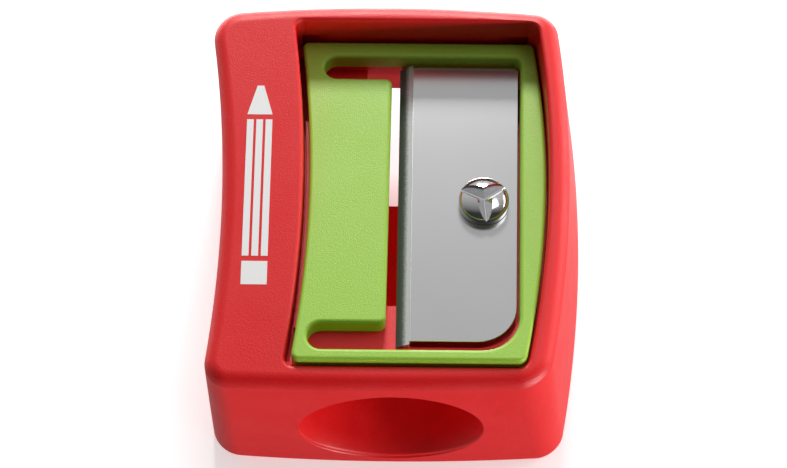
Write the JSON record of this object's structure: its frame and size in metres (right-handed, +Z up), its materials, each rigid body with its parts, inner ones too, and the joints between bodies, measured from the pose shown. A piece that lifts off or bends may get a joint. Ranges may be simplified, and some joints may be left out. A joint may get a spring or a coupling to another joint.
{
  "type": "pencil sharpener",
  "caption": "Hand-held pencil sharpener: moulded housing with a large conical hole, a snap-in trim frame and a steel blade held by a screw.",
  "frame": {"origin": "middle of the base outline, on the surface that the sharpener stands on", "axes": "+Z up; +Y away from the pencil mouth, along the pencil hole; +X towards the blade and its screw"},
  "size_m": [0.0358, 0.0388, 0.0212],
  "materials": {
    "red_plastic": "fine moulded grain, satin",
    "green_plastic": "fine moulded grain, satin",
    "blade_steel": "fine ground steel, brighter on the honed bevel",
    "screw_chrome": "polished plating"
  },
  "bodies": {
    "housing": {"body": "red_plastic", "insert_frame": "green_plastic"},
    "cutting_blade": {"blade": "blade_steel"},
    "clamp_screw": {"blade_screw": "screw_chrome"}
  },
  "joints": [
    {"name": "blade_lift", "type": "slide", "parent": "housing", "child": "cutting_blade", "axis": [0, 0.1326, 0.9912], "range_m": [0, 0.006]},
    {"name": "screw_turn", "type": "hinge", "parent": "cutting_blade", "child": "clamp_screw", "pos_m": [0.00757, -0.00012, 0.0173], "axis": [0, 0.1326, 0.9912], "range_deg": [0, 1964]}
  ],
  "couplings": [
    {"joint": "screw_turn", "follows": "blade_lift", "rad_per_m": 5712}
  ]
}
